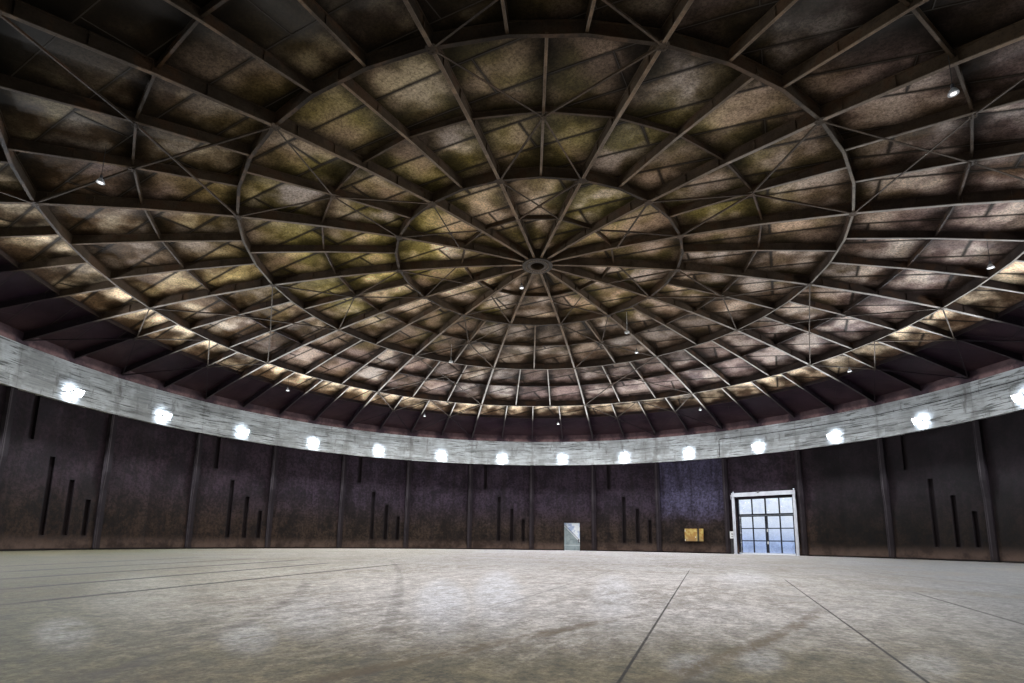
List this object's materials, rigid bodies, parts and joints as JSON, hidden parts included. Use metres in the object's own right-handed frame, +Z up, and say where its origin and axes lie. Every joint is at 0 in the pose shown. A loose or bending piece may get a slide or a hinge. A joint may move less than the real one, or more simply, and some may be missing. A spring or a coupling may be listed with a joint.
{
  "type": "gas holder hall, 1:2 scale model",
  "caption": "Round gas holder hall at half size: dark wall in bays with gate and door, concrete ring beam, ribbed steel dome with roof sheets.",
  "frame": {"origin": "on the building's axis, level with the foot of the wall", "axes": "+Z up; the gate faces -Y; the door is to the right of the gate seen from outside"},
  "size_m": [22.74, 22.74, 6.41],
  "materials": {
    "floor_concrete": "worn smooth",
    "wall_dark": "dark matt render",
    "beam_concrete": "board-marked concrete",
    "curb_steel": "red-brown primer",
    "dome_steel": "weathered, rust tinted",
    "roof_sheet": "mottled, weathered",
    "dark_frame": "satin",
    "pane_glass": "clear",
    "white_paint": "satin white",
    "door_silver": "galvanised",
    "yellow_paint": "gloss",
    "box_white": "matt"
  },
  "bodies": {
    "hall": {"floor_slab": "floor_concrete", "door_wall_left": "wall_dark", "door_wall_right": "wall_dark", "door_wall_over": "wall_dark", "wall_segment_door_to_gate": "wall_dark", "gate_wall_left": "wall_dark", "gate_wall_right": "wall_dark", "gate_wall_over": "wall_dark", "wall_segment_1": "wall_dark", "wall_segment_2": "wall_dark", "wall_segment_3": "wall_dark", "wall_segment_4": "wall_dark", "wall_segment_5": "wall_dark", "wall_segment_6": "wall_dark", "wall_segment_7": "wall_dark", "wall_segment_8": "wall_dark", "ring_beam": "beam_concrete", "curb_ring": "curb_steel", "dome_frame_1": "dome_steel", "dome_frame_2": "dome_steel", "dome_frame_3": "dome_steel", "dome_frame_4": "dome_steel", "dome_frame_5": "dome_steel", "dome_frame_6": "dome_steel", "dome_frame_7": "dome_steel", "hub_ring": "dome_steel", "roof_panel_1": "roof_sheet", "roof_panel_2": "roof_sheet", "roof_panel_3": "roof_sheet", "roof_panel_4": "roof_sheet", "roof_panel_5": "roof_sheet", "roof_panel_6": "roof_sheet", "roof_panel_7": "roof_sheet", "crown_plate": "roof_sheet", "gate_frame": "dark_frame", "gate_transom_glass": "pane_glass", "gate_portal": "white_paint", "door_frame": "dark_frame", "wall_cabinet": "yellow_paint", "control_box": "box_white"},
    "gate_leaf_left_body": {"gate_leaf_left": "dark_frame", "gate_glass_left": "pane_glass"},
    "gate_leaf_right_body": {"gate_leaf_right": "dark_frame", "gate_glass_right": "pane_glass"},
    "door_leaf_body": {"door_leaf": "door_silver"}
  },
  "joints": [
    {"name": "gate_left_hinge", "type": "hinge", "parent": "hall", "child": "gate_leaf_left_body", "pos_m": [0.897, -11.201, 0.75], "axis": [0, 0, 1], "range_deg": [0, 100]},
    {"name": "gate_right_hinge", "type": "hinge", "parent": "hall", "child": "gate_leaf_right_body", "pos_m": [-0.897, -11.201, 0.75], "axis": [0, 0, -1], "range_deg": [0, 100]},
    {"name": "door_hinge", "type": "hinge", "parent": "hall", "child": "door_leaf_body", "pos_m": [6.937, -8.8488, 0.6], "axis": [0, 0, 1], "range_deg": [0, 100]}
  ]
}
